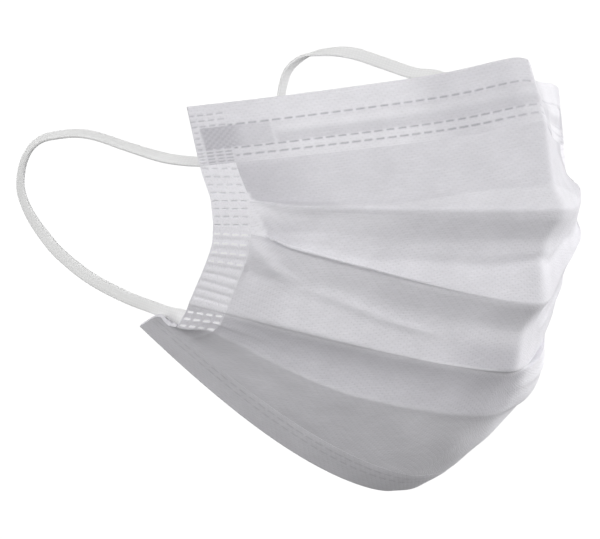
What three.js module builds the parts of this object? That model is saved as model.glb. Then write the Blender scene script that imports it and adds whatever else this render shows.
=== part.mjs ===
// A pleated non-medical face mask in the form that it has on a face.
// Millimetres, +Z up. X runs across the face, -Y is the front, and the origin is at the bridge of the nose.
import * as THREE from "three";

// Cloth, wire and elastic.
const clothThickness = 1.2;
const seamThickness = 1.6;
const hemThickness = 1.0;
const wireWidth = 4.0;
const wireThickness = 0.9;
const wireHalfShare = 0.76;
const strapWidth = 3.0;
const strapThickness = 1.7;
const pieceGap = 0.3;

// The upper hem is measured down from the top edge.
// The lower hem takes a share of the run from the throat to the bottom edge.
const topHemDepth = 16;
const topHemBackDepth = 4;
const wireDepth = 8.6;
const pocketSlope = 1;
const bottomHemShare = 0.95;
const bottomHemBackShare = 0.3;
const bottomTurnShare = 0.05;

// The panel stops a little short of both edges, inside the hems.
const panelTopDepth = 0.4;
const panelBottomShare = 0.03;

// The share of the half width that the pleated panel takes. The welded side seam has the rest.
const panelShare = 0.9;
const seamShare = 0.905;
const seamColumns = 3;
const columnsPerHalf = 16;
const columnCrowding = 1.25;

// Lines across the mask, from the top edge to the bottom edge.
// Each is given at the centre, by its drop below the bridge and how far forward it stands,
// and at the side, by its drop, how far back it ends and its half width.
// Rise is the power of its climb towards the side, bulge is how far its half stands out from a
// straight run, and round is how softly it turns at the centre, as a share of the half width.
const lineColumns = [
  "name", "drop", "forward", "sideDrop", "sideBack", "halfWidth", "rise", "bulge", "round",
];
const foldLines = [
  ["top edge", 0, 0, 11.2, 51.5, 69.0, 1.0, 0.8, 0.07],
  ["hem edge", 16.3, 5.7, 26.5, 48.2, 67.8, 1.0, 1.4, 0.08],
  ["cheek", 30.2, 7.7, 33.6, 46.1, 66.4, 0.7, 4.2, 0.09],
  ["crest 1", 37.2, 10.6, 35.0, 45.4, 66.2, 2.0, 5.8, 0.1],
  ["lip 1", 38.8, 8.1, 35.9, 46.2, 65.6, 2.0, 4.6, 0.1],
  ["valley 1", 45.8, 6.6, 38.4, 46.4, 65.4, 3.0, 3.4, 0.12],
  ["crest 2", 60.2, 3.6, 40.6, 45.6, 65.8, 1.3, 4.4, 0.13],
  ["lip 2", 62.2, 0.1, 41.8, 46.4, 65.2, 1.3, 3.3, 0.13],
  ["valley 2", 68.7, -2.0, 46.2, 46.8, 65.0, 1.4, 2.0, 0.14],
  ["crest 3", 78.2, -2.2, 60.0, 53.6, 66.2, 1.4, 3.8, 0.16],
  ["lip 3", 83.4, -11.2, 62.6, 55.5, 65.4, 1.45, 1.6, 0.17],
  ["fold 4", 89.3, -14.0, 66.2, 58.3, 65.7, 1.85, 2.4, 0.2],
  ["chin", 98.8, -26.0, 65.9, 61.8, 65.4, 1.48, 3.4, 0.22],
  ["throat", 105.6, -36.4, 64.0, 65.4, 64.6, 1.6, 2.6, 0.25],
  ["bottom edge", 109.6, -46.0, 66.7, 74.6, 61.5, 1.6, 2.2, 0.28],
];
const lastLine = foldLines.length - 1;

// Routes of the two ear loops, from the upper weld round the back to the lower weld.
// Each point is [back, drop, half width].
const loopRoutes = {
  left: [
    [43.8, 24.0, 57.4],
    [47.8, 24.4, 61.4],
    [51.8, 24.7, 64.8],
    [57.8, 24.4, 66.4],
    [66.3, 23.7, 64.5],
    [80.9, 21.8, 60.6],
    [93.6, 20.1, 56.9],
    [103.6, 19.8, 53.5],
    [113.6, 20.7, 50.2],
    [121.0, 22.0, 47.8],
    [126.6, 24.6, 46.0],
    [130.4, 28.8, 44.8],
    [131.5, 33.8, 44.6],
    [130.3, 37.6, 44.8],
    [126.6, 41.6, 46.0],
    [120.8, 45.9, 47.7],
    [113.0, 50.6, 49.7],
    [99.7, 56.0, 52.9],
    [85.0, 59.8, 56.3],
    [73.7, 61.9, 58.6],
    [66.0, 63.3, 59.9],
    [60.0, 64.6, 60.6],
    [54.2, 66.4, 58.6],
    [50.2, 68.2, 54.8],
  ],
  right: [
    [43.8, 24.0, 57.4],
    [47.8, 24.3, 61.4],
    [52.0, 24.2, 64.8],
    [57.0, 22.4, 66.8],
    [63.5, 19.4, 66.6],
    [74.0, 13.4, 64.8],
    [85.6, 9.0, 62.0],
    [93.1, 8.1, 60.0],
    [100.7, 5.8, 57.5],
    [108.6, 3.4, 54.4],
    [114.6, 3.2, 51.5],
    [119.6, 4.4, 48.6],
    [122.9, 7.6, 46.3],
    [124.2, 12.4, 45.2],
    [124.6, 18.5, 44.8],
    [123.4, 25.0, 44.8],
    [119.5, 34.0, 45.8],
    [112.0, 43.5, 48.5],
    [101.0, 51.5, 51.8],
    [89.0, 57.4, 55.0],
    [77.0, 61.2, 58.0],
    [67.0, 63.0, 59.8],
    [60.0, 64.4, 60.6],
    [54.2, 66.4, 58.6],
    [50.2, 68.2, 54.8],
  ],
};
const strapSides = 8;
const strapSteps = 64;

const colours = {
  cloth: { color: 0xdad9de, roughness: 0.92, metalness: 0 },
  wire: { color: 0xe4e4e2, roughness: 0.5, metalness: 0 },
  elastic: { color: 0xe2e2df, roughness: 0.85, metalness: 0 },
};

// The line at any place between the table's lines.
// Places outside the table run on in the same direction.
function lineAt(place) {
  const first = THREE.MathUtils.clamp(Math.floor(place), 0, lastLine - 1);
  const line = {};
  for (let column = 1; column < lineColumns.length; column += 1) {
    const above = foldLines[first][column];
    const below = foldLines[first + 1][column];
    line[lineColumns[column]] = above + (below - above) * (place - first);
  }
  return line;
}

// A rounded V: flat at the centre, then straight towards the side.
function roundedV(share, round) {
  return (Math.hypot(share, round) - round) / (Math.hypot(1, round) - round);
}

// The greatest value of share * share * (1 - share), which makes the bulge reach its stated size.
const bulgePeak = 4 / 27;

// A point of the mask's outer face, across from -1 to 1 and down by the place in the table of lines.
function facePoint(across, place) {
  const line = lineAt(place);
  const share = Math.abs(across);
  const bulge = (line.bulge * share * share * (1 - share)) / bulgePeak;
  const back = -line.forward + (line.sideBack + line.forward) * roundedV(share, line.round) - bulge;
  const drop = line.drop + (line.sideDrop - line.drop) * share ** line.rise;
  return new THREE.Vector3(across * line.halfWidth, back, -drop);
}

// The outward direction of the face there, from its slopes over these steps.
const acrossStep = 0.01;
const placeStep = 0.3;
function faceNormal(across, place) {
  const low = Math.max(-1, across - acrossStep);
  const high = Math.min(1, across + acrossStep);
  const above = Math.max(0, place - placeStep);
  const below = Math.min(lastLine, place + placeStep);
  const sideways = facePoint(high, place).sub(facePoint(low, place));
  const downward = facePoint(across, below).sub(facePoint(across, above));
  return downward.cross(sideways).normalize();
}

// A point off the face, outwards where the offset is positive.
function offsetPoint(across, place, offset) {
  const base = THREE.MathUtils.clamp(place, 0, lastLine);
  return facePoint(across, place).addScaledVector(faceNormal(across, base), offset);
}

// Evenly spaced columns across part of the mask.
function columnsBetween(from, to, count) {
  const columns = [];
  for (let i = 0; i <= count; i += 1) {
    columns.push(from + ((to - from) * i) / count);
  }
  return columns;
}

// Columns across the whole mask, closer together at the nose.
function noseColumns(halfShare) {
  const columns = [];
  for (let i = -columnsPerHalf; i <= columnsPerHalf; i += 1) {
    const share = Math.abs(i) / columnsPerHalf;
    columns.push(Math.sign(i) * halfShare * share ** columnCrowding);
  }
  return columns;
}

// A closed band. Each station is a pair of [place, offset], for the band's outer and inner face,
// and the band runs through all stations at each column.
function bandGeometry(columns, stations) {
  const count = stations.length;
  const positions = [];
  for (const across of columns) {
    for (const side of ["outer", "inner"]) {
      for (const station of stations) {
        const [place, offset] = station[side];
        positions.push(...offsetPoint(across, place, offset).toArray());
      }
    }
  }
  const index = [];
  const quad = (a, b, c, d) => index.push(a, b, c, a, c, d);
  const outer = (column, station) => column * 2 * count + station;
  const inner = (column, station) => outer(column, station) + count;
  const lastColumn = columns.length - 1;
  for (let c = 0; c < lastColumn; c += 1) {
    for (let s = 0; s < count - 1; s += 1) {
      quad(outer(c, s), outer(c, s + 1), outer(c + 1, s + 1), outer(c + 1, s));
      quad(inner(c, s), inner(c + 1, s), inner(c + 1, s + 1), inner(c, s + 1));
    }
    quad(outer(c, 0), outer(c + 1, 0), inner(c + 1, 0), inner(c, 0));
    quad(outer(c, count - 1), inner(c, count - 1), inner(c + 1, count - 1), outer(c + 1, count - 1));
  }
  for (let s = 0; s < count - 1; s += 1) {
    quad(outer(0, s), inner(0, s), inner(0, s + 1), outer(0, s + 1));
    quad(outer(lastColumn, s), outer(lastColumn, s + 1), inner(lastColumn, s + 1), inner(lastColumn, s));
  }
  const geometry = new THREE.BufferGeometry();
  geometry.setAttribute("position", new THREE.Float32BufferAttribute(positions, 3));
  geometry.setIndex(index);
  geometry.computeVertexNormals();
  return geometry;
}

// Stations of a plain wall: its outer face lies on the mask's face.
function wallStations(fromPlace, toPlace, thickness) {
  const places = [fromPlace];
  for (let line = 0; line <= lastLine; line += 1) {
    if (line > fromPlace && line < toPlace) {
      places.push(line);
    }
  }
  places.push(toPlace);
  return places.map((place) => ({ outer: [place, 0], inner: [place, -thickness] }));
}

// Places in the table for depths below the top edge, within the upper hem.
const hemPlace = (depth) => depth / topHemDepth;
const panelTop = hemPlace(panelTopDepth);
const panelBottom = lastLine - panelBottomShare;

// The main wall between the side seams.
function pleatedPanel() {
  return bandGeometry(noseColumns(panelShare), wallStations(panelTop, panelBottom, clothThickness));
}

// The fused ends of the pleats, at the left for -1 and the right for 1.
function sideSeam(side) {
  const from = side < 0 ? -1 : seamShare;
  const to = side < 0 ? -seamShare : 1;
  const columns = columnsBetween(from, to, seamColumns);
  return bandGeometry(columns, wallStations(panelTop, panelBottom, seamThickness));
}

// The upper hem lies over the front of the panel and round the wire,
// then turns over the top edge and goes a little way down behind.
function topHem() {
  const near = pieceGap;
  const overWire = pieceGap * 2 + wireThickness;
  const behind = -seamThickness - pieceGap;
  const pocketTop = wireDepth - wireWidth / 2 - pieceGap;
  const pocketBottom = wireDepth + wireWidth / 2 + pieceGap;
  const middle = (near + behind) / 2;
  const leaf = (depth, offset) => ({
    outer: [hemPlace(depth), offset + hemThickness],
    inner: [hemPlace(depth), offset],
  });
  const backLeaf = (depth) => ({
    outer: [hemPlace(depth), behind - hemThickness],
    inner: [hemPlace(depth), behind],
  });
  const stations = [
    backLeaf(topHemBackDepth),
    backLeaf(0),
    { outer: [hemPlace(-hemThickness), middle], inner: [hemPlace(0), middle] },
    leaf(0, near),
    leaf(pocketTop - pocketSlope, near),
    leaf(pocketTop, overWire),
    leaf(pocketBottom, overWire),
    leaf(pocketBottom + pocketSlope, near),
    leaf(topHemDepth, near),
  ];
  return bandGeometry(noseColumns(1), stations);
}

// The wire lies in the upper hem's pocket, in front of the panel.
function noseWire() {
  const stations = [-0.5, 0.5].map((share) => {
    const place = hemPlace(wireDepth + wireWidth * share);
    return { outer: [place, pieceGap + wireThickness], inner: [place, pieceGap] };
  });
  return bandGeometry(noseColumns(wireHalfShare), stations);
}

// The lower hem lies over the front of the panel, turns under the bottom edge
// and goes a little way up behind.
function bottomHem() {
  const near = pieceGap;
  const behind = -seamThickness - pieceGap;
  const middle = (near + behind) / 2;
  const frontTop = lastLine - bottomHemShare;
  const backTop = lastLine - bottomHemBackShare;
  const stations = [
    { outer: [frontTop, near + hemThickness], inner: [frontTop, near] },
    { outer: [lastLine, near + hemThickness], inner: [lastLine, near] },
    { outer: [lastLine + bottomTurnShare, middle], inner: [lastLine, middle] },
    { outer: [lastLine, behind - hemThickness], inner: [lastLine, behind] },
    { outer: [backTop, behind - hemThickness], inner: [backTop, behind] },
  ];
  return bandGeometry(noseColumns(1), stations);
}

// The path of an elastic strap. Its section keeps its wide side upright across the run.
class StrapPath extends THREE.CatmullRomCurve3 {
  computeFrenetFrames(segments) {
    const up = new THREE.Vector3(0, 0, 1);
    const frames = { tangents: [], normals: [], binormals: [] };
    let flat = null;
    for (let i = 0; i <= segments; i += 1) {
      const tangent = this.getTangentAt(i / segments);
      const wide = flat ? flat.clone().cross(tangent).negate() : up.clone();
      wide.addScaledVector(tangent, -wide.dot(tangent)).normalize();
      flat = wide.clone().cross(tangent).normalize();
      frames.tangents.push(tangent);
      frames.normals.push(flat);
      frames.binormals.push(wide);
    }
    return frames;
  }
}

// A strap of flat oval section along its route, at the left for -1 and the right for 1.
function earLoop(side, route) {
  const points = route.map(([back, drop, half]) => new THREE.Vector3(side * half, back, -drop));
  const path = new StrapPath(points);
  const section = new THREE.Shape();
  for (let i = 0; i < strapSides; i += 1) {
    const angle = ((i + 0.5) / strapSides) * 2 * Math.PI;
    const x = (strapThickness / 2) * Math.cos(angle);
    const y = (strapWidth / 2) * Math.sin(angle);
    if (i === 0) {
      section.moveTo(x, y);
    } else {
      section.lineTo(x, y);
    }
  }
  section.closePath();
  return new THREE.ExtrudeGeometry(section, { steps: strapSteps, extrudePath: path, bevelEnabled: false });
}

const mask = new THREE.Group();

function addPiece(name, geometry, look) {
  const piece = new THREE.Mesh(geometry, new THREE.MeshStandardMaterial(look));
  piece.name = name;
  mask.add(piece);
}

addPiece("pleated_panel", pleatedPanel(), colours.cloth);
addPiece("top_hem", topHem(), colours.cloth);
addPiece("bottom_hem", bottomHem(), colours.cloth);
addPiece("nose_wire", noseWire(), colours.wire);
addPiece("side_seam_left", sideSeam(-1), colours.cloth);
addPiece("side_seam_right", sideSeam(1), colours.cloth);
addPiece("ear_loop_left", earLoop(-1, loopRoutes.left), colours.elastic);
addPiece("ear_loop_right", earLoop(1, loopRoutes.right), colours.elastic);

export default mask;
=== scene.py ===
import math
import bpy
import numpy as np
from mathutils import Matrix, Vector


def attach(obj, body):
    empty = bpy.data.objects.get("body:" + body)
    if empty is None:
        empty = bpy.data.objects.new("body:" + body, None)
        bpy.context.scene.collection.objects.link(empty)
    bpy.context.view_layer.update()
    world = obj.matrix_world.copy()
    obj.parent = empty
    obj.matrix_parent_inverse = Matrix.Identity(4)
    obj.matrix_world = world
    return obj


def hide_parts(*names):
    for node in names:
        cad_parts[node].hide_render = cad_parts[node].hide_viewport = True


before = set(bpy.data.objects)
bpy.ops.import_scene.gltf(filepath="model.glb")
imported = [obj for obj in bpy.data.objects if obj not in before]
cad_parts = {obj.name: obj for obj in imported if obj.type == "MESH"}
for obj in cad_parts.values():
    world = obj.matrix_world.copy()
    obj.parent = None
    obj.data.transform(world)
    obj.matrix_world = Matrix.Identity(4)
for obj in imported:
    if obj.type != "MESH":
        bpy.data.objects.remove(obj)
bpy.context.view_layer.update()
bpy.ops.object.select_all(action="DESELECT")
scene = bpy.context.scene
mm = 0.001
clothSpan = (200.0, 200.0)  # millimetres over the flat map of a cloth piece
strapSpan = (250.0, 10.0)  # the same for a strap, along and across

# camera, level with the mask and to its left
viewSettings = {
    "turn": 47.5,
    "rise": 3.2,
    "distance": 5.2,
    "frameWidth": 0.1496,
    "aimRight": -0.0566,
    "aimUp": -0.0522,
    "sensor": 36.0,
}


def addCamera(settings):
    turn = math.radians(settings["turn"])
    rise = math.radians(settings["rise"])
    look = Vector((math.sin(turn) * math.cos(rise), math.cos(turn) * math.cos(rise), -math.sin(rise)))
    right = Vector((math.cos(turn), -math.sin(turn), 0.0))
    up = right.cross(look)
    aim = right * settings["aimRight"] + up * settings["aimUp"]
    lens = bpy.data.cameras.new("maskCamera")
    lens.sensor_width = settings["sensor"]
    lens.lens = settings["sensor"] * settings["distance"] / settings["frameWidth"]
    lens.clip_end = 60.0
    camera = bpy.data.objects.new("maskCamera", lens)
    camera.location = aim - look * settings["distance"]
    camera.rotation_euler = (-look).to_track_quat("Z", "Y").to_euler()
    scene.collection.objects.link(camera)
    scene.camera = camera


addCamera(viewSettings)
print("camera set")


# small helpers for the cloth
def smoothStep(value):
    value = np.clip(value, 0.0, 1.0)
    return value * value * (3.0 - 2.0 * value)


def dashRun(along, pitch, length, soft):  # 1 inside a dash, 0 in the gap after it
    away = np.abs((along / pitch) % 1.0 - 0.5) * pitch
    return smoothStep((length / 2 + soft - away) / (2 * soft))


def ridge(distance, width):
    return np.exp(-(distance / width) ** 2)


def lookUp(value, pairs):  # straight runs between the listed points
    return np.interp(value, *np.array(pairs).T)


# lines across the mask from the top edge down, in millimetres: drop and forward at the centre, drop, back and
# half width at the side, rise of the climb to the side, bulge of each half, bulge at the welded band,
# softness at the nose, pinch beside the nose, radius of the fold
foldLines = [
    ("topEdge", 0.0, 0.0, 11.2, 51.5, 69.0, 0.84, 0.8, 0.8, 0.06, 3.2, 1.0),
    ("hemEdge", 16.3, 5.7, 26.5, 48.2, 67.8, 0.9, 1.4, 1.6, 0.07, 1.6, 6.0),
    ("cheek", 30.2, 7.7, 33.6, 46.1, 66.4, 0.7, 4.2, 3.6, 0.08, 0.8, 2.6),
    ("crest1", 37.2, 9.0, 35.0, 45.8, 66.2, 2.0, 5.6, 4.2, 0.07, 0.0, 0.9),
    ("tuck1", 38.2, 8.5, 35.4, 45.9, 66.1, 2.0, 5.45, 4.1, 0.06, 0.0, 0.6),
    ("lip1", 39.8, 7.8, 36.0, 45.9, 66.0, 2.0, 5.2, 4.1, 0.055, 0.0, 2.2),
    ("valley1", 45.8, 4.8, 39.8, 45.8, 65.8, 4.0, 4.4, 3.9, 0.05, 0.0, 2.0),
    ("crest2", 60.2, 1.4, 40.2, 45.8, 65.7, 1.3, 4.4, 3.7, 0.05, 0.0, 0.7),
    ("tuck2", 61.1, 0.8, 40.7, 45.9, 65.6, 1.3, 4.25, 3.6, 0.05, 0.0, 0.6),
    ("lip2", 62.6, -0.4, 41.6, 46.0, 65.5, 1.3, 4.0, 3.5, 0.055, 0.0, 2.2),
    ("valley2", 68.7, -2.8, 46.2, 46.6, 65.3, 1.4, 2.3, 3.2, 0.06, 0.0, 5.0),
    ("crest3", 78.2, -4.4, 60.0, 53.6, 66.2, 1.4, 3.8, 3.2, 0.08, 0.0, 0.9),
    ("tuck3", 78.5, -6.2, 60.5, 54.1, 65.9, 1.4, 2.6, 2.8, 0.16, 0.0, 0.4),
    ("lip3", 83.4, -11.2, 62.6, 55.5, 65.4, 1.45, 0.6, 2.6, 0.17, 0.0, 3.6),
    ("fold4", 89.3, -14.0, 66.2, 58.3, 65.7, 1.85, 0.8, 2.4, 0.20, 0.0, 0.9),
    ("chin", 98.8, -26.0, 65.9, 61.8, 65.4, 1.48, 2.2, 2.2, 0.22, 0.0, 6.0),
    ("throat", 105.6, -36.4, 63.2, 65.4, 64.6, 1.65, 1.6, 1.6, 0.25, 0.0, 5.0),
    ("bottomEdge", 109.6, -46.0, 66.7, 74.6, 61.5, 1.7, 1.4, 1.4, 0.28, 0.0, 1.0),
]
lineNames = [line[0] for line in foldLines]
lineValues = np.array([line[1:] for line in foldLines])
lastLine = len(foldLines) - 1
radiusColumn = 10  # of lineValues
bandShare = 0.905  # the welded side bands start here
noseRise = 1.3  # how far the upper hem stands up at the bridge of the nose
noseLean = 3.5  # how far the upper edge drops past the bridge of the nose
farSag = 2.8  # how far the first pleat hangs lower on the right half
farChin = 1.8  # how far the chin hangs lower on the right half
# how much fuller the right half is at each place down the face, and the strip above the chin just past the nose
farFull = [
    (0.3, 0.0), (1.2, -3.6), (1.8, -2.4), (2.3, 1.2), (3.0, -0.4), (4.0, 0.0), (5.0, 0.2), (6.0, 1.2), (6.7, 2.2),
    (7.0, 1.2), (8.0, 0.0), (9.6, 1.4), (10.3, 1.6), (11.0, 0.6), (12.0, -0.6), (12.4, 0.6), (13.0, 2.6), (14.0, 6.2),
    (15.0, 5.6), (17.0, 5.6),
]
farStrip = [(11.6, 0.0), (12.2, 3.0), (13.0, 4.8), (13.6, 3.0), (14.2, 0.0)]
roundPeak = 6.75  # brings share ** 2 * (1 - share) to 1 at its peak
earlyPeak = 45.6  # the same for share ** 2 * (1 - share) ** 4
flapLift = [("lip3", 0.0), ("fold4", 2.6), ("chin", 1.56), ("throat", 0.0)]  # how far these lines rise beside the bands
halfArc = 95.0  # run of the cloth from the nose to a side edge
# where the two upper pleats lie at the bands, as shares of the run from the first to the last of these lines
closedFolds = {
    ("cheek", "valley1"): {"crest1": 0.16, "tuck1": 0.20, "lip1": 0.26},
    ("valley1", "valley2"): {"crest2": 0.06, "tuck2": 0.12, "lip2": 0.24},
}
placeOf = {name: index for index, name in enumerate(lineNames)}
centreRun = np.hypot(np.diff(lineValues[:, 0]), np.diff(lineValues[:, 1]))
hemRun = lineValues[placeOf["hemEdge"], 0]  # depth of the upper hem from its first line to its second


def closedLines():  # the same lines with the two upper pleats pressed flat, as at the bands
    closed = lineValues.copy()
    for (first, last), folds in closedFolds.items():
        start, end = lineValues[placeOf[first]], lineValues[placeOf[last]]
        for name, part in folds.items():
            closed[placeOf[name], :-1] = (start + (end - start) * part)[:-1]
    return closed


closedValues = closedLines()


def blendedLines(table, places):  # the line values at each place, with the folds rounded
    places = np.asarray(places, float)
    low = np.clip(np.floor(places).astype(int), 0, lastLine - 1)
    values = table[low] + (table[low + 1] - table[low]) * (places - low)[:, None]
    for index in range(1, lastLine):
        before = min(0.5, table[index, radiusColumn] / centreRun[index - 1])
        after = min(0.5, table[index, radiusColumn] / centreRun[index])
        inside = (places > index - before) & (places < index + after)
        part = ((places[inside] - index + before) / (before + after))[:, None]
        middle = table[index]
        start = middle + (table[index - 1] - middle) * before
        end = middle + (table[index + 1] - middle) * after
        values[inside] = start * (1 - part) ** 2 + middle * 2 * part * (1 - part) + end * part ** 2
    return values


def formOf(table, acrosses, places):  # the two equal halves, columns by rows
    drop, forward, sideDrop, sideBack, half, rise, bulge, bandBulge, soft, pinch, _ = blendedLines(table, places).T
    share = np.abs(acrosses)[:, None]
    opened = 1.0 - smoothStep((share - 0.74) / (bandShare - 0.74))
    bulge = bandBulge + (bulge - bandBulge) * opened
    turned = (np.hypot(share, soft) - soft) / (np.hypot(1.0, soft) - soft)
    back = -forward + (sideBack + forward) * turned - bulge * roundPeak * share ** 2 * (1 - share)
    back = back + pinch * (1 - ridge(share, 0.07)) * (1 - share)
    down = drop + (sideDrop - drop) * share ** rise
    return np.stack([acrosses[:, None] * half + 0 * share, back, -down], axis=2)


def faceForm(acrosses, places):  # outer face of the cloth, with the pleats closing towards the bands
    places = np.asarray(places, float)
    column, share = acrosses[:, None], np.abs(acrosses)[:, None]
    shut = smoothStep((share - 0.8) / (bandShare - 0.8))
    shut = np.maximum(shut, 0.55 * smoothStep((column - 0.12) / 0.4))[..., None]
    form = formOf(lineValues, acrosses, places)
    form = form + (formOf(closedValues, acrosses, places) - form) * shut
    # the bridge of the nose, and the first pleat past it
    lean = smoothStep((column + 0.05) / 0.12) * (1 - smoothStep(column / 0.95))
    sag = smoothStep(column / 0.45) * (1 - smoothStep((column - 0.45) / 0.45))
    pleat = smoothStep((places - 1.4) / 1.6) * (1 - smoothStep((places - 4.6) / 2.0))
    form[..., 2] -= noseLean * lean * (1 - smoothStep(places / 1.3)) + farSag * sag * pleat
    form[..., 2] += noseRise * ridge(column, 0.17) * (1 - smoothStep((places - 0.8) / 1.1))
    # the fuller right half and its chin
    full = np.clip(column, 0, 1) ** 2 * (1 - column)
    form[..., 1] -= full * roundPeak * lookUp(places, farFull)
    form[..., 1] -= full * (1 - column) ** 3 * earlyPeak * lookUp(places, farStrip)
    chin = smoothStep(column / 0.2) * (1 - smoothStep((column - 0.3) / 0.5))
    form[..., 2] -= farChin * chin * smoothStep(places - placeOf["fold4"])
    # the fourth fold beside the bands
    beside = smoothStep((share - 0.45) / (bandShare - 0.45)) * (1 - smoothStep((share - bandShare) / (1 - bandShare)))
    form[..., 2] += beside * lookUp(places, [(placeOf[name], rise) for name, rise in flapLift])
    return form


def faceNormal(acrosses, places):  # outward direction of the cloth, without the turn of the small folds
    ahead = np.clip(acrosses + 0.012, -1.0, 1.0)
    behind = np.clip(acrosses - 0.012, -1.0, 1.0)
    side = faceForm(ahead, places) - faceForm(behind, places)
    low = np.clip(places - 1.6, 0.0, lastLine)
    high = np.clip(places + 1.6, 0.0, lastLine)
    normal = np.cross(faceForm(acrosses, high) - faceForm(acrosses, low), side)
    return normal / np.linalg.norm(normal, axis=2, keepdims=True)


def runAlong(points, axis):  # length along the cloth, column by column or row by row
    steps = np.linalg.norm(np.diff(points, axis=axis), axis=2)
    start = np.zeros_like(np.take(steps, [0], axis=axis))
    return np.concatenate([start, np.cumsum(steps, axis=axis)], axis=axis)


def placesBetween(first, last, step):  # finer at the folds
    places = {first, last}
    for index in range(lastLine + 1):
        before = min(0.5, lineValues[index, radiusColumn] / centreRun[max(index - 1, 0)])
        after = min(0.5, lineValues[index, radiusColumn] / centreRun[min(index, lastLine - 1)])
        places.update(index - before * part for part in (1.0, 0.66, 0.33, 0.0))
        places.update(index + after * part for part in (0.33, 0.66, 1.0))
        if index < lastLine:
            count = max(1, round(centreRun[index] / step))
            places.update(index + part / count for part in range(count))
    ordered = sorted(place for place in places if first <= place <= last)
    kept = [ordered[0]]
    for place in ordered[1:]:
        if place - kept[-1] > 0.012:
            kept.append(place)
    kept[-1] = last
    return np.array(kept)


def addWall(piece, wall):  # thickness behind the laid face
    thicken = piece.modifiers.new("wall", "SOLIDIFY")
    thicken.thickness = wall * mm
    thicken.offset = -1.0
    bpy.ops.object.modifier_apply(modifier=thicken.name)


def layCloth(name, points, along, depth, wall, marks):  # a sheet through the points, with its wall behind them
    columns, rows = points.shape[:2]
    bpy.ops.object.select_all(action="DESELECT")
    bpy.ops.mesh.primitive_grid_add(x_subdivisions=columns - 1, y_subdivisions=rows - 1, size=1, calc_uvs=True)
    piece = bpy.context.object
    piece.name = name
    upward = points[:, ::-1].transpose(1, 0, 2) * mm  # rows from the bottom up, so the faces look outwards
    piece.data.vertices.foreach_set("co", upward.reshape(-1))
    flat = np.stack([0.5 + along / clothSpan[0], 1.0 - depth / clothSpan[1]], axis=2)
    flat = flat[:, ::-1].transpose(1, 0, 2).reshape(-1, 2)
    corner = np.empty(len(piece.data.loops), int)
    piece.data.loops.foreach_get("vertex_index", corner)
    piece.data.uv_layers[0].data.foreach_set("uv", flat[corner].reshape(-1))
    for mark, values in marks.items():  # welds and painted shade, painted glow, and plies with painted light, for the finish
        layer = piece.data.attributes.new(mark, "FLOAT", "POINT")
        layer.data.foreach_set("value", np.ascontiguousarray(values[:, ::-1].T, dtype=np.float32).reshape(-1))
    piece.data.update()
    addWall(piece, wall)
    bpy.ops.object.shade_smooth_by_angle(angle=math.radians(70))
    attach(piece, "root")
    return piece


# ear loops: flat knitted straps, each welded to the inside of a side band at both ends
loopSettings = {
    "width": 3.15,
    "thickness": 1.0,
    "tabWidth": 4.6,
    "tab": [(-20.0, 0.0), (-13.0, 1.0), (-11.0, 1.0), (-6.0, 0.0)],  # run from the lower end, share of the tab
    "outward": (0.737, -0.676, 0.0),  # where the flat side looks before its turn, on the right half
    "ribs": 5,
    "ribDepth": 0.05,
    "ringSides": 40,
    "ringStep": 0.7,
}
# routes as back, drop and half width, and the turn of the flat side along the run
leftRoute = [
    (43.8, 24.0, 57.4), (47.8, 24.4, 61.4), (51.8, 24.7, 64.8), (57.8, 24.4, 66.4), (66.3, 23.7, 64.5),
    (80.9, 21.8, 60.6), (93.6, 20.1, 56.9), (103.6, 19.8, 53.5), (113.6, 20.7, 50.2), (121.0, 22.0, 47.8),
    (126.6, 24.6, 46.0), (130.4, 28.8, 44.8), (131.5, 33.8, 44.6), (130.3, 37.6, 44.8), (126.6, 41.6, 46.0),
    (120.8, 45.9, 47.7), (113.0, 50.6, 49.7), (99.7, 56.0, 52.9), (85.0, 59.8, 56.3), (73.7, 61.9, 58.6),
    (66.0, 63.3, 59.9), (60.0, 64.6, 60.6), (54.2, 66.4, 58.6), (50.2, 68.2, 54.8),
]
leftTurn = [(0.0, -50), (0.12, -45), (0.25, -55), (0.38, -62), (0.46, -68), (0.54, -50), (0.62, -25), (0.75, -10),
            (1.0, 0)]
rightRoute = [
    (43.8, 24.0, 57.4), (47.8, 24.3, 61.4), (52.0, 24.2, 64.8), (57.0, 22.4, 66.8), (63.5, 19.4, 66.6),
    (74.0, 13.4, 64.8), (85.6, 9.0, 62.0), (93.1, 8.1, 60.0), (100.7, 5.8, 57.5), (108.6, 3.4, 54.4),
    (114.6, 3.2, 51.5), (119.6, 4.4, 48.6), (122.9, 7.6, 46.3), (124.2, 12.4, 45.2), (124.6, 18.5, 44.8),
    (123.4, 25.0, 44.8), (119.5, 34.0, 45.8), (112.0, 43.5, 48.5), (101.0, 51.5, 51.8), (89.0, 57.4, 55.0),
    (77.0, 61.2, 58.0), (67.0, 63.0, 59.8), (60.0, 64.4, 60.6), (54.2, 66.4, 58.6), (50.2, 68.2, 54.8),
]
rightTurn = [(0.0, -30), (0.2, -40), (0.3, -45), (0.4, -46), (0.48, -42), (0.55, -34), (0.65, -25), (1.0, 0)]


def smoothPath(points, step):  # a smooth run through the points, in even steps
    points = np.array(points)
    padded = np.vstack([2 * points[0] - points[1], points, 2 * points[-1] - points[-2]])
    dense = []
    for index in range(1, len(padded) - 2):
        a, b, c, d = padded[index - 1:index + 3]
        for part in np.linspace(0, 1, 40, endpoint=False):
            dense.append(0.5 * (2 * b + (c - a) * part + (2 * a - 5 * b + 4 * c - d) * part ** 2
                                + (3 * b - a - 3 * c + d) * part ** 3))
    dense = np.array(dense + [points[-1]])
    run = np.concatenate([[0], np.cumsum(np.linalg.norm(np.diff(dense, axis=0), axis=1))])
    even = np.linspace(0, run[-1], max(2, round(run[-1] / step)) + 1)
    return np.stack([np.interp(even, run, dense[:, axis]) for axis in range(3)], axis=1), even


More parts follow.
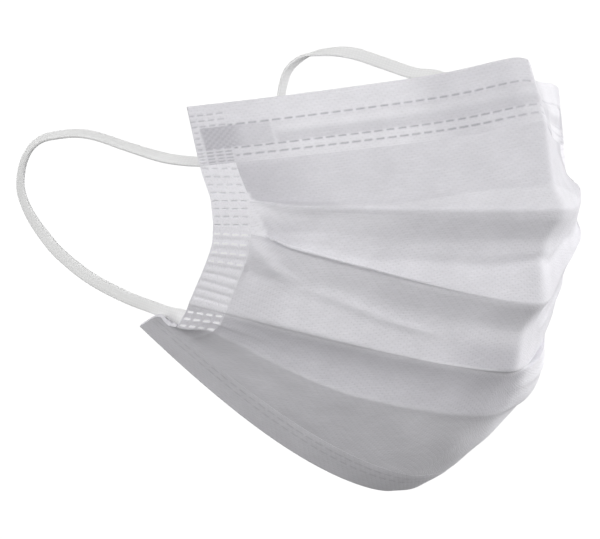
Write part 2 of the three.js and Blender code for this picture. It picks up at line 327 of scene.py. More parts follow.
def strapRing(settings):  # flat rounded section with lengthwise ribs on both faces
    angles = (np.arange(settings["ringSides"]) + 0.5) / settings["ringSides"] * 2 * math.pi
    wide = np.sign(np.sin(angles)) * np.abs(np.sin(angles)) ** 0.75
    flat = np.sign(np.cos(angles)) * np.abs(np.cos(angles)) ** 0.5
    ribs = 0.5 - 0.5 * np.cos((wide + 1) * math.pi * settings["ribs"])
    thickness = settings["thickness"] / 2 - settings["ribDepth"] * (1 - ribs) * np.abs(flat)
    return wide * settings["width"] / 2, flat * thickness


def makeLoop(name, side, route, turns, settings, node):
    points = [(side * half, back, -drop) for back, drop, half in route]
    path, run = smoothPath(points, settings["ringStep"])
    wideShare, flatShare = strapRing(settings)
    tangents = np.gradient(path, axis=0)
    tangents /= np.linalg.norm(tangents, axis=1, keepdims=True)
    outward = np.array(settings["outward"]) * (side, 1, 1)
    angles = np.radians(lookUp(run / run[-1], turns))
    tab = smoothStep(lookUp(run - run[-1], settings["tab"]))
    tab = 1 + (settings["tabWidth"] / settings["width"] - 1) * tab
    rings = []
    for point, tangent, angle, spread in zip(path, tangents, angles, tab):
        wide = np.cross(tangent, outward)
        wide /= np.linalg.norm(wide)
        flat = np.cross(wide, tangent)
        wide = wide * math.cos(angle) + flat * math.sin(angle)
        flat = np.cross(wide, tangent)
        rings.append(point + wideShare[:, None] * wide * spread + flatShare[:, None] * flat)
    rings = np.array(rings) * mm
    count = settings["ringSides"]
    faces = []
    for ring in range(len(rings) - 1):
        for corner in range(count):
            after = (corner + 1) % count
            faces.append((ring * count + corner, ring * count + after,
                          (ring + 1) * count + after, (ring + 1) * count + corner))
    faces.append(tuple(reversed(range(count))))
    faces.append(tuple(range((len(rings) - 1) * count, len(rings) * count)))
    mesh = bpy.data.meshes.new(name)
    mesh.from_pydata(rings.reshape(-1, 3).tolist(), [], faces)
    layer = mesh.uv_layers.new(name="strapRun")
    corner = np.empty(len(mesh.loops), int)
    mesh.loops.foreach_get("vertex_index", corner)
    flatRun, flatSide = np.repeat(run / strapSpan[0], count), np.tile(0.5 + wideShare / strapSpan[1], len(rings))
    flatPlace = np.stack([flatRun, flatSide], axis=1)
    layer.data.foreach_set("uv", flatPlace[corner].reshape(-1))
    piece = bpy.data.objects.new(name, mesh)
    scene.collection.objects.link(piece)
    bpy.ops.object.select_all(action="DESELECT")
    piece.select_set(True)
    bpy.context.view_layer.objects.active = piece
    bpy.ops.object.mode_set(mode="EDIT")
    bpy.ops.mesh.select_all(action="SELECT")
    bpy.ops.mesh.normals_make_consistent(inside=False)
    bpy.ops.object.mode_set(mode="OBJECT")
    bpy.ops.object.shade_smooth_by_angle(angle=math.radians(60))
    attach(piece, "root")
    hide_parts(node)
    print(name, "length mm", round(float(run[-1]), 1))
    return piece


leftLoop = makeLoop("earLoopLeft", -1, leftRoute, leftTurn, loopSettings, "ear_loop_left")
rightLoop = makeLoop("earLoopRight", 1, rightRoute, rightTurn, loopSettings, "ear_loop_right")
print("ear loops made")

# pleated panel between the welded bands
panelSettings = {
    "columnStep": 0.8,
    "rowStep": 1.0,
    "wall": 0.6,
    "topPlace": 0.03,
    "bottomPlace": lastLine - 0.03,
    "waviness": 0.10,
    "paintedShadeUpper": 0.368,  # painted shade beside the bands, above the first fold and between the first two
    "paintedShadeLower": 0.23,
    "paintedShadeReach": 0.26,
    "paintedShadeStrip": 0.32,  # painted shade on the strip above the chin
    "paintedShadeNose": 0.4,  # painted shade on the third pleat beside the nose
    "paintedShadeAbove": 0.07,  # painted shade on all of the cloth above the first facet
    "facetPliesAndLight": 0.35,  # painted light and more plies in the first facet, and painted light in the cheeks, under the first fold and along the dart
    "paintedLightCheek": 0.4,
    "paintedLightUnderFold": 0.45,
    "paintedLightDart": 0.35,
    "facetEdge": [(0.0, 2.09), (0.28, 2.23), (0.4, 2.49), (0.52, 2.73), (0.8, 2.76)],  # across and place
}
# creases on each half: kind, line of across and drop, height, width, first and last fold line, fade in drop.
# A dip sinks just inside its line and comes back towards the middle, with more plies and painted light outside the
# line.
# A dart is a sharp ridge with a valley outside it, and a roll runs along its line.
panelCreases = [
    ("dip", [(0.920, 27.8), (0.907, 31.8), (0.895, 34.0), (0.872, 35.2)], -1.0, 7.0, "hemEdge", "crest1", 2.0),
    ("dip", [(0.910, 34.8), (0.880, 38.3), (0.860, 43.0)], -0.6, 4.0, "tuck1", "crest2", 2.4),
    ("dart", [(0.908, 42.9), (0.873, 47.1), (0.830, 51.0), (0.770, 54.3)], 1.2, 1.0, "tuck2", "crest3", 7.0),
    ("roll", [(0.700, 56.5), (0.621, 59.1), (0.462, 64.3), (0.304, 68.2)], 0.45, 3.6, "tuck2", "crest3", 4.0),
]

# across a dart, from outside to the middle: distance and height
dartProfile = [(-20.0, 0.0), (-15.0, -0.2), (-12.0, -0.38), (-9.5, -0.48), (-7.5, -0.42), (-6.0, -0.3), (0.0, 0.9),
               (4.0, 0.15), (16.0, 0.0)]

# facets that tip up above a crest: its line, across with the gap above it and the slope, dip along the upper edge
panelFlares = [
    ("crest1", [(0.0, 6.4, 0.32), (0.28, 5.4, 0.32), (0.4, 3.6, 0.4), (0.52, 1.9, 0.5), (0.8, 1.7, 0.5),
                (0.9, 0.6, 0.4)], 0.0),
    ("crest2", [(0.0, 9.5, 0.32), (0.16, 6.5, 0.36), (0.3, 5.2, 0.4), (0.42, 4.0, 0.45), (0.56, 1.5, 0.55),
                (0.8, 1.2, 0.5), (0.9, 0.6, 0.4)], 0.35),
]


def panelRelief(share, drop, places):  # height of the facets and creases
    height = np.zeros_like(drop)
    for name, gaps, dip in panelFlares:
        across, gap, slope = np.array(gaps).T
        gap, slope = np.interp(share[:, :1], across, gap), np.interp(share[:, :1], across, slope)
        below = drop - drop[:, [np.argmin(np.abs(places - placeOf[name]))]]
        above = places <= placeOf[name]
        ramp = np.where(above, np.clip(1 + below / gap, 0, 1), 1 - smoothStep(below / 9.0))
        near = np.where(above, (np.abs(below + gap) < 12.0), 0)
        height = height + slope * gap * ramp - dip * (gap / 6.0) * ridge(below + gap + 0.9, 1.1) * near
    for kind, line, rise, width, first, last, fade in panelCreases:
        across, drops = np.array(line).T
        away = (share - np.interp(drop, drops, across)) * halfArc
        if kind == "dip":
            form = np.clip(-away / width, 0, 1) * (1 - smoothStep((-away - width) / 26.0))
        elif kind == "dart":
            form = lookUp(-away / width, dartProfile)
        else:
            form = ridge(away, width)
        ends = smoothStep((drop - drops[0]) / fade + 0.5) * smoothStep((drops[-1] - drop) / fade + 0.5)
        inside = smoothStep((places - placeOf[first]) / 1.8) * (places < placeOf[last])
        height = height + rise * form * ends * inside
    return height


def panelPliesAndPaintedLight(share, drop, places, settings):  # more plies and painted light where the stacked ends of the pleats reach in past the bands, and a painted highlight along the dart
    pliesAndPaintedLight = np.zeros_like(drop)
    for kind, line, _, _, first, last, _ in panelCreases:
        across, drops = np.array(line).T
        away = (share - np.interp(drop, drops, across)) * halfArc
        inside = (places > placeOf[first]) & (places <= placeOf[last])
        if kind == "dip":
            pliesAndPaintedLight = pliesAndPaintedLight + smoothStep(away / 0.5 + 0.5) * inside
        elif kind == "dart":
            ends = smoothStep((drop - drops[0]) / 2.0) * smoothStep((drops[-1] - drop) / 6.0)
            pliesAndPaintedLight = pliesAndPaintedLight + settings["paintedLightDart"] * ridge(away + 1.4, 2.0) * ends * inside
    return pliesAndPaintedLight


def panelTones(acrosses, places, share, drop, settings):  # painted shade, and more plies with painted light
    column = acrosses[:, None]
    # painted shade beside the bands, above the first fold and between the first two
    upper = smoothStep((places - 0.8) / 0.4) * smoothStep((placeOf["crest1"] - places) / 0.3)
    lower = smoothStep((places - placeOf["lip1"]) / 0.9) * smoothStep((placeOf["crest2"] - places) / 0.3)
    paintedShade = 1 - smoothStep((bandShare - share) / settings["paintedShadeReach"])
    paintedShade = paintedShade * (settings["paintedShadeUpper"] * upper + settings["paintedShadeLower"] * lower)
    pliesAndPaintedLight = panelPliesAndPaintedLight(share, drop, places, settings)
    # the strip above the chin: painted shade up to the nose, and more plies with painted light past it
    strip = smoothStep((places - placeOf["tuck3"]) / 0.3) * smoothStep((placeOf["fold4"] - places) / 0.2)
    beyond = smoothStep((column - 0.08) / 0.12)
    paintedShade = paintedShade + settings["paintedShadeStrip"] * strip * (1 - beyond)
    pliesAndPaintedLight = pliesAndPaintedLight + strip * beyond
    # painted shade on the third pleat beside the nose
    third = smoothStep((places - placeOf["valley2"] - 0.1) / 0.5) * (places <= placeOf["crest3"])
    towards = smoothStep((column + 0.34) / 0.26) * (1 - smoothStep((column + 0.03) / 0.07))
    paintedShade = paintedShade + settings["paintedShadeNose"] * third * towards
    pliesAndPaintedLight = pliesAndPaintedLight + smoothStep((places - placeOf["fold4"]) / 0.3) * smoothStep((column + 0.5) / 0.45)  # painted light and more plies under the chin
    # painted light and more plies in the first facet, and painted shade on the cloth above it
    facet = smoothStep((places - lookUp(share, settings["facetEdge"])) / 0.08) * (places <= placeOf["crest1"])
    pliesAndPaintedLight = pliesAndPaintedLight + settings["facetPliesAndLight"] * facet
    paintedShade = paintedShade + settings["paintedShadeAbove"] * (1 - facet) * upper
    # painted light on the cheeks from the first fold to the third, less beside the bands
    cheeks = (places > placeOf["tuck1"]) & (places <= placeOf["crest3"])
    beside = smoothStep((share - 0.72) / 0.1) * smoothStep((places - placeOf["lip1"]) / 0.9)
    pliesAndPaintedLight = pliesAndPaintedLight + settings["paintedLightCheek"] * smoothStep((share - 0.45) / 0.2) * (1 - beside) * cheeks
    # painted light just under the first fold
    underFoldLight = cheeks * (1 - smoothStep((places - placeOf["lip1"]) / 0.7))
    pliesAndPaintedLight = pliesAndPaintedLight + settings["paintedLightUnderFold"] * smoothStep((share - 0.4) / 0.2) * underFoldLight
    return {"weld": paintedShade * (1 - pliesAndPaintedLight), "glow": 0 * drop, "pliesAndPaintedLight": pliesAndPaintedLight}


def waviness(points, size):  # slow waves of thin cloth
    x, y, z = points[..., 0], points[..., 1], points[..., 2]
    wave = np.sin(x * 0.21 + z * 0.13 + 0.6) + np.sin(y * 0.17 - z * 0.27 + 1.9)
    return size * (wave + 0.7 * np.sin(x * 0.43 - y * 0.31 + z * 0.23))


def acrossSteps(first, last, step, arc=88.0):  # even columns, arc being the run of half the face
    return np.linspace(first, last, max(2, round((last - first) * arc / step)) + 1)


def makePanel(settings):
    acrosses = acrossSteps(-bandShare, bandShare, settings["columnStep"])
    places = placesBetween(settings["topPlace"], settings["bottomPlace"], settings["rowStep"])
    points = faceForm(acrosses, places)
    normal = faceNormal(acrosses, places)
    share = np.abs(acrosses)[:, None] + 0 * places
    drop = -points[..., 2]
    height = panelRelief(share, drop, places) + waviness(points, settings["waviness"])
    height = height * smoothStep((bandShare - share) / 0.008)
    height = height * smoothStep((places - 1.0) / 0.3) * smoothStep((lastLine - 0.9 - places) / 0.3)
    points = points + normal * height[..., None]
    along = runAlong(points, 0)
    along = along - along[len(along) // 2]
    depth = runAlong(points, 1)
    marks = panelTones(acrosses, places, share, drop, settings)
    piece = layCloth("pleatedPanel", points, along, depth, settings["wall"], marks)
    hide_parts("pleated_panel")
    return piece


panel = makePanel(panelSettings)
print("panel made", len(panel.data.polygons))

# welded bands at the two sides, with rows of four short welds
bandSettings = {
    "columnStep": 0.3,
    "rowStep": 0.28,
    "wall": 0.9,
    "topPlace": 0.03,
    "bottomPlace": lastLine - 0.03,
    "rowPitch": 2.0,
    "flapPitch": 1.74,
    "dashPitch": 2.35,
    "dashLength": 1.5,
    "dashWidth": 0.17,
    "dashDepth": 0.24,
    "grooveDepth": 0.21,
    "firstRow": 29.1,  # drop of the first row on the band, and on the flap below it
    "flapRow": 62.1,
    "pillowsFrom": 42.2,  # where the welded rows turn to soft rows, then to ribs, and where the flap's rows end
    "ribsFrom": 50.4,
    "flapEnd": 66.2,
    "rowSlopes": [(40.0, 0.0), (43.0, 0.045), (47.0, 0.07), (56.0, 0.27)],  # drop and slant of the rows
    "flapSlope": 0.14,
    "rowShift": 0.87,  # how much higher the upper rows lie
    "grooveWidth": 0.42,
    "dashWeld": 0.45,  # dark of the welded dashes, and painted shade in the grooves between pillows and ribs
    "pillowGrooveShade": 0.12,
    "ribGrooveShade": 0.04,
    "pillowGlow": 0.35,  # painted light: dashes that glow on the pillows and on the flap
    "flapGlow": 0.75,
    "flatStart": 80.0,
}


def bandRelief(fromEdge, drop, places, settings):  # height, weld with painted shade, painted glow of the rows, and the plies with painted light
    onFlap = smoothStep((places - placeOf["tuck3"] - 0.03) / 0.1)
    plain = 1 - onFlap
    slope = lookUp(drop, settings["rowSlopes"]) * plain + settings["flapSlope"] * onFlap
    level = drop - slope * fromEdge + settings["rowShift"] * (1 - smoothStep((drop - 40.0) / 9.0))
    pitch = settings["rowPitch"] + (settings["flapPitch"] - settings["rowPitch"]) * onFlap
    count = (level - settings["firstRow"]) / settings["rowPitch"] * plain
    count = count + (level - settings["flapRow"]) / settings["flapPitch"] * onFlap
    row = ((count + 0.5) % 1.0 - 0.5) * pitch
    between = (count % 1.0 - 0.5) * pitch
    dash = dashRun(fromEdge + 0.1, settings["dashPitch"], settings["dashLength"], 0.2)
    line = ridge(row, settings["dashWidth"]) * dash
    gully = ridge(between, settings["grooveWidth"])
    pillows = smoothStep((level - settings["pillowsFrom"]) / 0.6)
    ribs = smoothStep((level - settings["ribsFrom"]) / 0.8)
    upper = (1 - pillows) * plain
    pillows = pillows * (1 - ribs) * plain
    ribs = ribs * smoothStep((placeOf["crest3"] - 0.06 - places) / 0.1)
    flap = onFlap * (1 - smoothStep((level - settings["flapEnd"]) / 0.3))
    flap = flap * (1 - smoothStep((places - placeOf["fold4"] + 0.25) / 0.2))
    depth = settings["dashDepth"] * line * (upper + 0.4 * flap)
    depth = depth + settings["grooveDepth"] * gully * (0.6 * pillows + ribs)
    weld = settings["dashWeld"] * line * upper
    # painted shade in the grooves between the pillows and between the ribs
    weld = weld + gully * (settings["pillowGrooveShade"] * pillows + settings["ribGrooveShade"] * ribs)
    # painted light: the dashes glow on the pillows and on the flap
    glow = settings["pillowGlow"] * line * pillows + settings["flapGlow"] * ridge(row, 0.24) * dash * flap
    clear = smoothStep((fromEdge - 0.25) / 0.35)
    return -depth * clear, weld * clear, glow * clear, plain + 0 * level


def makeBand(name, side, node, settings):
    ends = (-1.0, -bandShare) if side < 0 else (bandShare, 1.0)
    acrosses = acrossSteps(*ends, settings["columnStep"], 115.0)
    coarse = placesBetween(settings["topPlace"], settings["bottomPlace"], 1.0)
    edge = runAlong(faceForm(np.array([0.96]), coarse), 1)[0]
    count = round(edge[-1] / settings["rowStep"])
    places = np.unique(np.concatenate([coarse, np.interp(np.linspace(0, edge[-1], count), edge, coarse)]))
    points = faceForm(acrosses, places)
    normal = faceNormal(acrosses, places)
    along = runAlong(points, 0)
    fromEdge = along if side < 0 else along[-1] - along
    inner = smoothStep((np.abs(acrosses)[:, None] - bandShare) / 0.003)
    height, weld, glow, pliesAndPaintedLight = bandRelief(fromEdge, -points[..., 2], places, settings)
    points = points + normal * (height * inner)[..., None]
    piece = layCloth(name, points, along + side * settings["flatStart"] - 6.0, runAlong(points, 1), settings["wall"],
                     {"weld": weld * inner, "glow": glow * inner, "pliesAndPaintedLight": pliesAndPaintedLight})
    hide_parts(node)
    return piece


leftBand = makeBand("sideSeamLeft", -1, "side_seam_left", bandSettings)
rightBand = makeBand("sideSeamRight", 1, "side_seam_right", bandSettings)
print("side bands made", len(leftBand.data.polygons))

# upper hem, folded over the top edge and welded along three lines
topHemSettings = {
    "columnStep": 0.4,
    "rowStep": 0.3,
    "depth": 16.4,
    "backDepth": 4.0,
    "backGap": 0.75,
    "wall": 0.18,
    "lift": 0.3,
    "taper": 0.21,  # how far the free edge sinks back to the panel
    "waviness": 0.03,
    "lines": (5.5, 11.7, 14.0),
    "dashPitch": 3.05,
    "dashLength": 2.15,
    "dashWidth": 0.24,
    "dashDepth": 0.14,
    "wireDepth": 8.3,
    "wireShare": 0.78,
    "wireLift": 0.5,
    "cornerWidth": 9.2,
    "cornerMargin": 2.3,
    "pocket": (5.6, 11.4),  # depth of the wire's pocket, and how far its empty end runs from the side
    "pocketEnd": 19.4,
    "rowDash": (2.35, 1.65),  # pitch and length of the dashes in the corner rows
    "rowWeld": 0.6,  # dark of the corner rows, the patch with its dots, and the cloth beside it
    "patchWeld": 0.4,
    "dotWeld": 0.2,
    "besideWeld": 0.22,
    "pocketWeld": 0.24,
    "wireFlankShade": 0.18,  # painted shade below the wire, and at the sides of the nose
    "hemNoseShade": 0.16,
    "pliesAndPaintedLight": 0.3,  # plies everywhere, and painted light on the cheeks
    "cheekPaintedLight": 0.6,
    "flatStart": 10.0,
}


def hemRelief(along, fromEdge, depth, share, settings):  # height, weld with painted shade, and plies with painted light of the upper hem
    height = np.zeros_like(along + depth)
    weld = np.zeros_like(height)
    dash = dashRun(along + 0.4, settings["dashPitch"], settings["dashLength"], 0.18)
    inside = smoothStep((fromEdge - settings["cornerWidth"]) / 0.6)
    for line in settings["lines"]:
        mark = ridge(depth - line, settings["dashWidth"]) * dash * inside
        height = height - settings["dashDepth"] * mark - 0.07 * ridge(depth - line, 0.9)
        height = height + 0.06 * ridge(depth - line, 0.35) * (1 - dash) * inside
        weld = weld + mark * (0.5 + 0.32 * smoothStep(share / 0.2))
    wire = smoothStep((depth - 5.9) / 1.2) * (1 - smoothStep((depth - settings["wireDepth"]) / 2.8))
    wire = wire * smoothStep((settings["wireShare"] - share) / 0.014)
    wire = wire * (0.6 + 0.4 * smoothStep(share / 0.4))
    height = height + settings["wireLift"] * wire
    # the corners: the band's rows run over the hem, with a patch of small dots between the weld lines
    corner = 1 - inside
    top, bottom = settings["pocket"]
    pocket = smoothStep((depth - top) / 0.3) * smoothStep((bottom - depth) / 0.3)
    pocket = pocket * smoothStep((fromEdge - settings["cornerMargin"]) / 0.3)
    patch = pocket * (1 - smoothStep((fromEdge - settings["cornerWidth"]) / 4.0))
    dots = np.cos(fromEdge * math.pi / 0.8) * np.cos(depth * math.pi / 0.7)
    height = height - patch * (0.1 + 0.09 * dots)
    pitch = np.where(depth > 11.5, 1.0, 1.5)
    row = ((depth / pitch) % 1.0 - 0.5) * pitch
    rowDash = dashRun(fromEdge + 0.25, *settings["rowDash"], 0.2)
    rows = ridge(row, 0.2) * rowDash * corner * (1 - patch) * smoothStep((depth - 0.8) / 0.5)
    rows = rows * smoothStep((fromEdge - 0.25) / 0.35)
    height = height - 0.16 * rows
    beside = (1 - smoothStep((fromEdge - 7.0) / 11.0)) * smoothStep((depth - 5.2) / 0.6)
    beside = beside * smoothStep((fromEdge - 2.0) / 0.5)
    pocket = pocket * (1 - patch) * (1 - smoothStep((fromEdge - settings["pocketEnd"]) / 0.8))
    weld = weld + settings["rowWeld"] * rows + patch * (settings["patchWeld"] + settings["dotWeld"] * dots)
    weld = weld + settings["pocketWeld"] * pocket + settings["besideWeld"] * beside
    # painted shade below the wire
    flank = smoothStep((depth - settings["wireDepth"] + 0.3) / 1.8) * smoothStep((11.5 - depth) / 0.4)
    weld = weld + settings["wireFlankShade"] * flank * smoothStep((settings["wireShare"] - share) / 0.014)
    # painted shade at the sides of the nose
    nose = smoothStep((share - 0.03) / 0.05) * (1 - smoothStep((share - 0.25) / 0.12))
    weld = weld + settings["hemNoseShade"] * nose
    # painted light on the cheeks
    cheek = smoothStep((share - 0.3) / 0.15) * (1 - smoothStep((share - 0.7) / 0.12))
    return height, weld, settings["pliesAndPaintedLight"] + settings["cheekPaintedLight"] * cheek * (1 - flank)


def hemFrame(acrosses, places, step):  # face, downward and outward directions along a hem
    base = faceForm(acrosses, places)
    downward = faceForm(acrosses, places + max(step, 0.0)) - faceForm(acrosses, places + min(step, 0.0))
    downward = downward / np.linalg.norm(downward, axis=2, keepdims=True)
    ahead = faceForm(np.clip(acrosses + 0.006, -1.0, 1.0), places)
    behind = faceForm(np.clip(acrosses - 0.006, -1.0, 1.0), places)
    outward = np.cross(downward, ahead - behind)
    outward = outward / np.linalg.norm(outward, axis=2, keepdims=True)
    along = runAlong(base, 0)
    return base, downward, outward, along - along[len(along) // 2]


def finerRows(start, end, step, lines):
    rows = set(np.arange(start, end, step)) | {end}
    for line in lines:
        rows.update(line + offset for offset in (-0.7, -0.5, -0.36, -0.24, -0.12, 0.0, 0.12, 0.24, 0.36, 0.5, 0.7))
    rows = np.array(sorted(rows))
    return rows[np.concatenate([[True], np.diff(rows) > 0.08])]


def hemRows(settings):  # from the back leaf round the edge to the front: run from the edge, offset, 1 on the front
    front = finerRows(0.5, settings["depth"], settings["rowStep"], settings["lines"])
    back = np.arange(0.6, settings["backDepth"] + 0.01, 0.85)[::-1]
    behind = -settings["backGap"] - settings["wall"]
    reach = (settings["lift"] - behind) / 2
    turn = np.linspace(-0.5, 0.5, 9) * math.pi
    taper = settings["lift"] - settings["taper"] * smoothStep((front - settings["depth"] + 1.6) / 1.6)
    runs = np.concatenate([back, -reach * 0.6 * np.cos(turn), front])
    offsets = np.concatenate([0 * back + behind, behind + reach + reach * np.sin(turn), taper])
    return runs, offsets, np.concatenate([0 * back, 0 * turn, 0 * front + 1])


def makeTopHem(settings):
    acrosses = acrossSteps(-1.0, 1.0, settings["columnStep"])
    depths, offsets, onFront = hemRows(settings)
    base, downward, outward, along = hemFrame(acrosses, np.clip(depths, 0.0, None) / hemRun, 0.02)
    fromEdge = along[-1] - np.abs(along)
    share = np.abs(acrosses)[:, None]
    height, weld, pliesAndPaintedLight = hemRelief(along, fromEdge, depths, share, settings)
    height = height + waviness(base, settings["waviness"])
    points = base + downward * np.minimum(depths, 0.0)[:, None]
    points = points + outward * (offsets + height * onFront)[..., None]
    weld = weld * onFront
    piece = layCloth("topHem", points, along, settings["flatStart"] + depths + 0 * along, settings["wall"],
                     {"weld": weld, "glow": 0 * weld, "pliesAndPaintedLight": pliesAndPaintedLight})
    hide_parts("top_hem")
    return piece


topHem = makeTopHem(topHemSettings)
print("top hem made", len(topHem.data.polygons))

# nose wire in the hem's pocket
wireSettings = {"width": 2.6, "thickness": 0.2, "depth": 8.6, "share": 0.76, "cuts": 140, "gap": 0.02, "edge": 0.08}


def makeWire(settings):
    count = settings["cuts"] + 1
    bpy.ops.object.select_all(action="DESELECT")
    bpy.ops.mesh.primitive_grid_add(x_subdivisions=settings["cuts"], y_subdivisions=6, size=1)
    piece = bpy.context.object
    piece.name = "noseWire"
    acrosses = np.linspace(-settings["share"], settings["share"], count)
    depths = settings["depth"] + np.linspace(0.5, -0.5, 7) * settings["width"]
    points = faceForm(acrosses, depths / hemRun)
    height = settings["gap"] + settings["thickness"] + waviness(points, 0.05)
    points = points + faceNormal(acrosses, depths / hemRun) * height[..., None]
    piece.data.vertices.foreach_set("co", (points.transpose(1, 0, 2) * mm).reshape(-1))
    addWall(piece, settings["thickness"])
    soften = piece.modifiers.new("soft edges", "BEVEL")
    soften.width = settings["edge"] * mm
    soften.segments = 2
    bpy.ops.object.modifier_apply(modifier=soften.name)
    bpy.ops.object.shade_smooth()
    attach(piece, "root")
    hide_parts("nose_wire")
    return piece


noseWire = makeWire(wireSettings)
print("nose wire made")

# lower hem, folded round the bottom edge
bottomHemSettings = {
    "columnStep": 0.45,
    "rowStep": 0.5,
    "depth": 10.4,
    "backDepth": 3.2,
    "backGap": 0.75,
    "run": 11.0,
    "wall": 0.18,
    "lift": 0.14,
    "taper": 0.1,
    "waviness": 0.02,
    "lines": (6.4, 8.4),
    "dashPitch": 3.05,
    "dashLength": 2.1,
    "dashWidth": 0.26,
    "dashDepth": 0.05,
    "weld": 0.3,
    "pliesAndPaintedLight": 0.3,
    "flatStart": 150.0,
}


def makeBottomHem(settings):
    acrosses = acrossSteps(-1.0, 1.0, settings["columnStep"])
    heights, offsets, onFront = [rows[::-1] for rows in hemRows(settings)]
    places = lastLine - np.clip(heights, 0.0, None) / settings["run"]
    base, downward, outward, along = hemFrame(acrosses, places, -0.02)
    dash = dashRun(along + 0.9, settings["dashPitch"], settings["dashLength"], 0.2)
    height = waviness(base, settings["waviness"])
    weld = np.zeros_like(along)
    for line in settings["lines"]:
        mark = ridge(heights - line, settings["dashWidth"]) * dash
        height = height - settings["dashDepth"] * mark
        weld = weld + settings["weld"] * mark * onFront
    points = base - downward * np.minimum(heights, 0.0)[:, None]
    points = points + outward * (offsets + height * onFront)[..., None]
    piece = layCloth("bottomHem", points, along, settings["flatStart"] - heights + 0 * along, settings["wall"],
                     {"weld": weld, "glow": 0 * weld, "pliesAndPaintedLight": 0 * weld + settings["pliesAndPaintedLight"]})
    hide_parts("bottom_hem")
    return piece


bottomHem = makeBottomHem(bottomHemSettings)
print("bottom hem made", len(bottomHem.data.polygons))


# cloth, elastic and wire finishes, with the sizes of their patterns in millimetres
clothFinish = {
    "panelColour": (0.825, 0.815, 0.855),
    # plies and painted light lighten towards this colour
    "plyAndPaintedLightColour": (0.93, 0.92, 0.96),
    # welds and painted shade darken towards this colour
    "weldColour": (0.45, 0.44, 0.485),
    "bondPitch": 1.5,
    "cloudSize": 9.0,
    "fibreLength": 3.2,
    "fibreWidth": 0.34,
    "fibreTurns": (24.0, -63.0, 88.0),
    "baseTone": 0.89,
    "cloudTone": 0.16,
    "fibreTone": 0.08,
    "bondTone": 0.04,
    "rough": 0.9,
    "bondShine": 0.28,
    "bump": 0.35,
    "sheen": 0.1,
    # strength of the painted glow
    "glow": 0.5,
}
elasticFinish = {
    "colour": (0.96, 0.96, 0.955),
    "gapShadeColour": (0.92, 0.92, 0.915),
    "wale": 0.63,
    "stitch": 0.85,
    "rough": 0.9,
    "bump": 0.04,
}
wireFinish = {
    "colour": (0.9, 0.9, 0.89),
    "scuffColour": (0.8, 0.8, 0.79),
    "scuffSize": 1.2,
    "rough": 0.42,
    "scuffRough": 0.25,
    "bump": 0.15,
}


def newGroup(name, takes, gives):  # a shader node group with its sockets
    tree = bpy.data.node_groups.new(name, "ShaderNodeTree")
    for way, sockets in (("INPUT", takes), ("OUTPUT", gives)):
        for label, kind in sockets.items():
            tree.interface.new_socket(name=label, in_out=way, socket_type="NodeSocket" + kind)
    return tree, tree.nodes.new("NodeGroupInput").outputs, tree.nodes.new("NodeGroupOutput").inputs


def plug(tree, socket, value):  # a link from another socket, or a fixed value
    if isinstance(value, bpy.types.NodeSocket):
        tree.links.new(value, socket)
    else:
        socket.default_value = value


def calc(tree, operation, *values):
    node = tree.nodes.new("ShaderNodeMath")
    node.operation = operation
    for socket, value in zip(node.inputs, values):
        plug(tree, socket, value)
    return node.outputs["Value"]


def ramp(tree, value, low, high):  # 0 below low, 1 above high
    node = tree.nodes.new("ShaderNodeMapRange")
    node.interpolation_type = "SMOOTHSTEP"
    plug(tree, node.inputs["Value"], value)
    plug(tree, node.inputs["From Min"], low)
    plug(tree, node.inputs["From Max"], high)
    return node.outputs["Result"]


def blend(tree, amount, first, second):
    node = tree.nodes.new("ShaderNodeMix")
    node.data_type = "RGBA"
    plug(tree, node.inputs["Factor"], amount)
    plug(tree, node.inputs["A"], first)
    plug(tree, node.inputs["B"], second)
    return node.outputs["Result"]


def speckle(tree, place, stretch, turn, detail, wander=0.0):  # noise with its own grain direction
    mapping = tree.nodes.new("ShaderNodeMapping")
    mapping.inputs["Rotation"].default_value = (0.0, 0.0, math.radians(turn))
    mapping.inputs["Scale"].default_value = (*stretch, 1.0)
    plug(tree, mapping.inputs["Vector"], place)
    noise = tree.nodes.new("ShaderNodeTexNoise")
    noise.inputs["Scale"].default_value = 1.0
    noise.inputs["Detail"].default_value = detail
    noise.inputs["Distortion"].default_value = wander
    tree.links.new(mapping.outputs["Vector"], noise.inputs["Vector"])
    return noise.outputs["Fac"]


